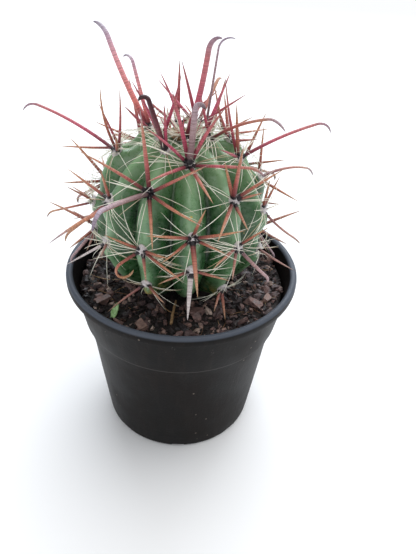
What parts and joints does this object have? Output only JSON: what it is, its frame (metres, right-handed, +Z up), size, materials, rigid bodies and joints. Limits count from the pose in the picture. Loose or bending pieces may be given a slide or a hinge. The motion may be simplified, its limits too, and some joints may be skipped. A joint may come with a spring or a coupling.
{
  "type": "potted round cactus",
  "caption": "Round ribbed cactus with long hooked red spines, growing in bark potting mix in a tapered black nursery pot.",
  "frame": {"origin": "centre of the pot's flat base, on the face it stands on", "axes": "+Z up along the pot's axis, -Y towards the front of the plant, +X to its right"},
  "size_m": [0.1734, 0.1598, 0.2488],
  "materials": {
    "pot_plastic": "black moulded plastic, satin wall, shiny rim",
    "potting_mix": "damp peat with bark and fibre, matt",
    "plant_skin": "waxy green plant skin, satin",
    "crown_wool": "tan plant wool, matt",
    "spines": "horny spines, satin, dark at the base and paler at the tip",
    "green_scrap": "fallen green plant flake, matt",
    "dry_wood": "dry bare stick, matt",
    "bark": "reddish bark chips, matt"
  },
  "bodies": {
    "root": {"bark_chip_1": "bark", "bark_chip_2": "bark", "bark_chip_3": "bark", "bark_chip_4": "bark", "bark_chip_5": "bark", "bark_chip_6": "bark", "bark_chip_7": "bark", "cactus_body": "plant_skin", "crown_wool": "crown_wool", "green_scrap": "green_scrap", "nursery_pot": "pot_plastic", "potting_mix": "potting_mix", "spines_rib01_1": "spines", "spines_rib01_2": "spines", "spines_rib01_3": "spines", "spines_rib01_4": "spines", "spines_rib02_1": "spines", "spines_rib02_2": "spines", "spines_rib02_3": "spines", "spines_rib03_1": "spines", "spines_rib03_2": "spines", "spines_rib03_3": "spines", "spines_rib03_4": "spines", "spines_rib04_1": "spines", "spines_rib04_2": "spines", "spines_rib04_3": "spines", "spines_rib04_4": "spines", "spines_rib05_1": "spines", "spines_rib05_2": "spines", "spines_rib05_3": "spines", "spines_rib06_1": "spines", "spines_rib06_2": "spines", "spines_rib06_3": "spines", "spines_rib06_4": "spines", "spines_rib07_1": "spines", "spines_rib07_2": "spines", "spines_rib07_3": "spines", "spines_rib08_1": "spines", "spines_rib08_2": "spines", "spines_rib08_3": "spines", "spines_rib09_1": "spines", "spines_rib09_2": "spines", "spines_rib09_3": "spines", "spines_rib09_4": "spines", "spines_rib10_1": "spines", "spines_rib10_2": "spines", "spines_rib10_3": "spines", "spines_rib11_1": "spines", "spines_rib11_2": "spines", "spines_rib11_3": "spines", "spines_rib12_1": "spines", "spines_rib12_2": "spines", "spines_rib12_3": "spines", "spines_rib12_4": "spines", "twig": "dry_wood"}
  },
  "joints": []
}
